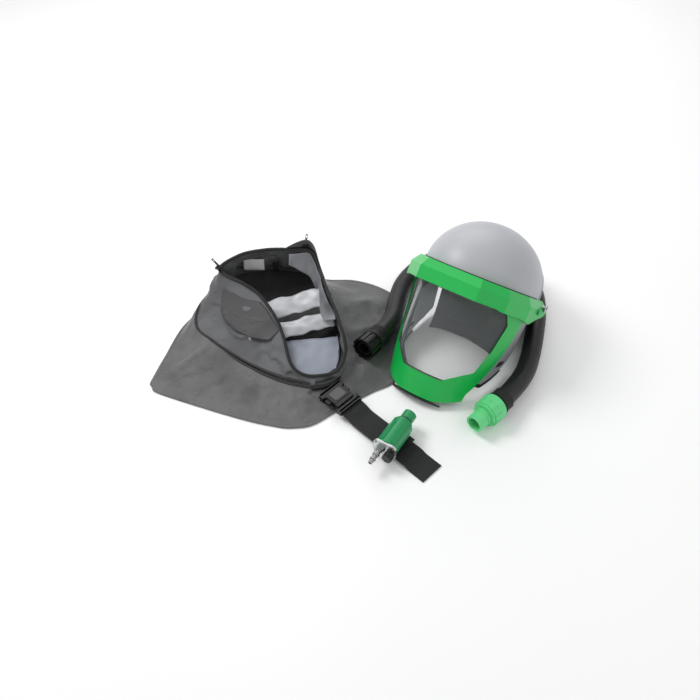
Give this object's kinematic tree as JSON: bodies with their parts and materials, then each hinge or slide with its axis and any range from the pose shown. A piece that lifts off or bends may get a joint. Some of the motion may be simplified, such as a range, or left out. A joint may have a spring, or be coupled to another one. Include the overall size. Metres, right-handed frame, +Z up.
{
  "type": "supplied air respirator kit",
  "caption": "Respirator kit: tilted grey helmet with a green framed lift-up visor, black breathing tube, grey zip-on cape, and a waist belt with buckle and air valve.",
  "frame": {"origin": "on the table under the middle of the kit, measured without the breathing tube and its fittings", "axes": "+Z up from the table; +X from the cape towards the helmet; +Y away from the belt's cut end"},
  "size_m": [0.7473, 0.559, 0.2363],
  "materials": {
    "alloy": "satin",
    "badge_grey": "moulded",
    "black_foam": "foam",
    "black_plastic": "matte",
    "black_rubber": "matte",
    "black_tape": "woven",
    "clear_lens": "clear",
    "frame_green": "gloss",
    "grey_cloth": "coated nylon",
    "guard_grey": "satin",
    "label_cloth": "woven",
    "lining_cloth": "satin lining",
    "mint_green": "satin",
    "shell_grey": "satin",
    "steel": "brushed",
    "valve_green": "gloss",
    "webbing": "woven"
  },
  "bodies": {
    "cape": {"cape_front": "grey_cloth", "cape_back": "grey_cloth", "cape_collar": "grey_cloth", "zip_tape": "black_tape", "zip_slider_a": "steel", "zip_slider_b": "steel", "lining_panel": "lining_cloth", "lining_band_low": "lining_cloth", "lining_band_high": "lining_cloth", "care_label": "label_cloth", "size_tab": "black_tape"},
    "pull_a": {"zip_pull_a": "steel"},
    "pull_b": {"zip_pull_b": "steel"},
    "tube": {"breathing_tube": "black_rubber", "helmet_end_cuff": "black_rubber", "helmet_end_spigot": "black_plastic", "valve_end_cuff": "black_rubber", "coupling_spigot": "mint_green", "spigot_o_ring": "black_rubber"},
    "helmet_nut": {"helmet_end_nut": "black_plastic"},
    "coupling": {"coupling_nut": "mint_green"},
    "helmet": {"helmet_shell": "shell_grey", "shell_trim": "black_rubber", "crown_liner": "black_foam", "brow_seal": "black_rubber", "air_inlet": "black_plastic", "headband": "black_plastic", "ratchet_band": "black_plastic", "brow_pad": "black_foam", "nape_cradle": "black_plastic", "crown_strap_cross": "black_plastic", "crown_strap_long": "black_plastic", "face_ring": "guard_grey", "side_guard_left": "guard_grey", "side_guard_right": "guard_grey", "guard_clips": "black_plastic", "guard_edges": "black_plastic", "pivot_pins": "steel"},
    "visor": {"visor_frame": "frame_green", "visor_lens": "clear_lens", "lens_seal": "black_rubber", "visor_catches": "frame_green"},
    "ratchet": {"ratchet_knob": "black_plastic"},
    "buckle": {"buckle_female": "black_plastic", "buckle_badge": "badge_grey", "webbing_stub": "webbing"},
    "belt": {"belt_webbing": "webbing", "webbing_end_seal": "black_plastic", "buckle_male": "black_plastic"},
    "arm_left": {"buckle_arm_left": "black_plastic"},
    "arm_right": {"buckle_arm_right": "black_plastic"},
    "valve": {"belt_bracket": "black_plastic", "valve_body": "valve_green", "valve_outlet": "valve_green", "outlet_o_ring": "black_rubber", "valve_cartridge": "black_plastic", "valve_lid": "alloy", "lid_screws": "steel", "air_plug": "steel"},
    "flow": {"flow_knob": "black_plastic"}
  },
  "joints": [
    {"name": "tube_lift_off", "type": "slide", "parent": "cape", "child": "tube", "axis": [0, 0, 1], "range_m": [0, 0.25]},
    {"name": "helmet_lift_off", "type": "slide", "parent": "tube", "child": "helmet", "axis": [0, 0, 1], "range_m": [0, 0.15]},
    {"name": "belt_lift_off", "type": "slide", "parent": "cape", "child": "buckle", "axis": [0, 0, 1], "range_m": [0, 0.25]},
    {"name": "visor_lift", "type": "hinge", "parent": "helmet", "child": "visor", "pos_m": [0.25578, 0.1312, 0.09192], "axis": [-0.8065, 0.5878, -0.0637], "range_deg": [0, 70]},
    {"name": "headband_ratchet", "type": "hinge", "parent": "helmet", "child": "ratchet", "pos_m": [0.27902, 0.15529, 0.01993], "axis": [0.4652, 0.5643, -0.682], "range_deg": [-270, 270]},
    {"name": "helmet_nut_spin", "type": "hinge", "parent": "tube", "child": "helmet_nut", "pos_m": [0.03717, 0.03169, 0.03514], "axis": [-0.6023, -0.7926, 0.0951], "continuous": true},
    {"name": "coupling_nut_spin", "type": "hinge", "parent": "tube", "child": "coupling", "pos_m": [0.24769, -0.1113, 0.0255], "axis": [-0.7142, -0.6999, 0], "continuous": true},
    {"name": "zip_pull_a_swing", "type": "hinge", "parent": "cape", "child": "pull_a", "pos_m": [-0.2446, 0.1622, 0.11126], "axis": [-0.5, -0.866, 0], "range_deg": [-60, 25]},
    {"name": "zip_pull_b_swing", "type": "hinge", "parent": "cape", "child": "pull_b", "pos_m": [-0.0816, 0.2072, 0.12751], "axis": [-0.9848, 0.1736, 0], "range_deg": [-60, 25]},
    {"name": "buckle_pull_apart", "type": "slide", "parent": "buckle", "child": "belt", "axis": [0.7133, -0.7009, 0], "range_m": [0, 0.03]},
    {"name": "buckle_press_left", "type": "slide", "parent": "belt", "child": "arm_left", "axis": [-0.7009, -0.7133, 0], "range_m": [0, 0.005], "stiffness_N_per_m": 400},
    {"name": "buckle_press_right", "type": "slide", "parent": "belt", "child": "arm_right", "axis": [0.7009, 0.7133, 0], "range_m": [0, 0.005], "stiffness_N_per_m": 400},
    {"name": "valve_along_belt", "type": "slide", "parent": "belt", "child": "valve", "axis": [0.7133, -0.7009, 0], "range_m": [-0.03, 0.015]},
    {"name": "flow_adjust", "type": "hinge", "parent": "valve", "child": "flow", "pos_m": [0.06605, -0.21103, 0.0262], "axis": [0.5299, 0.848, 0], "range_deg": [0, 270]}
  ]
}
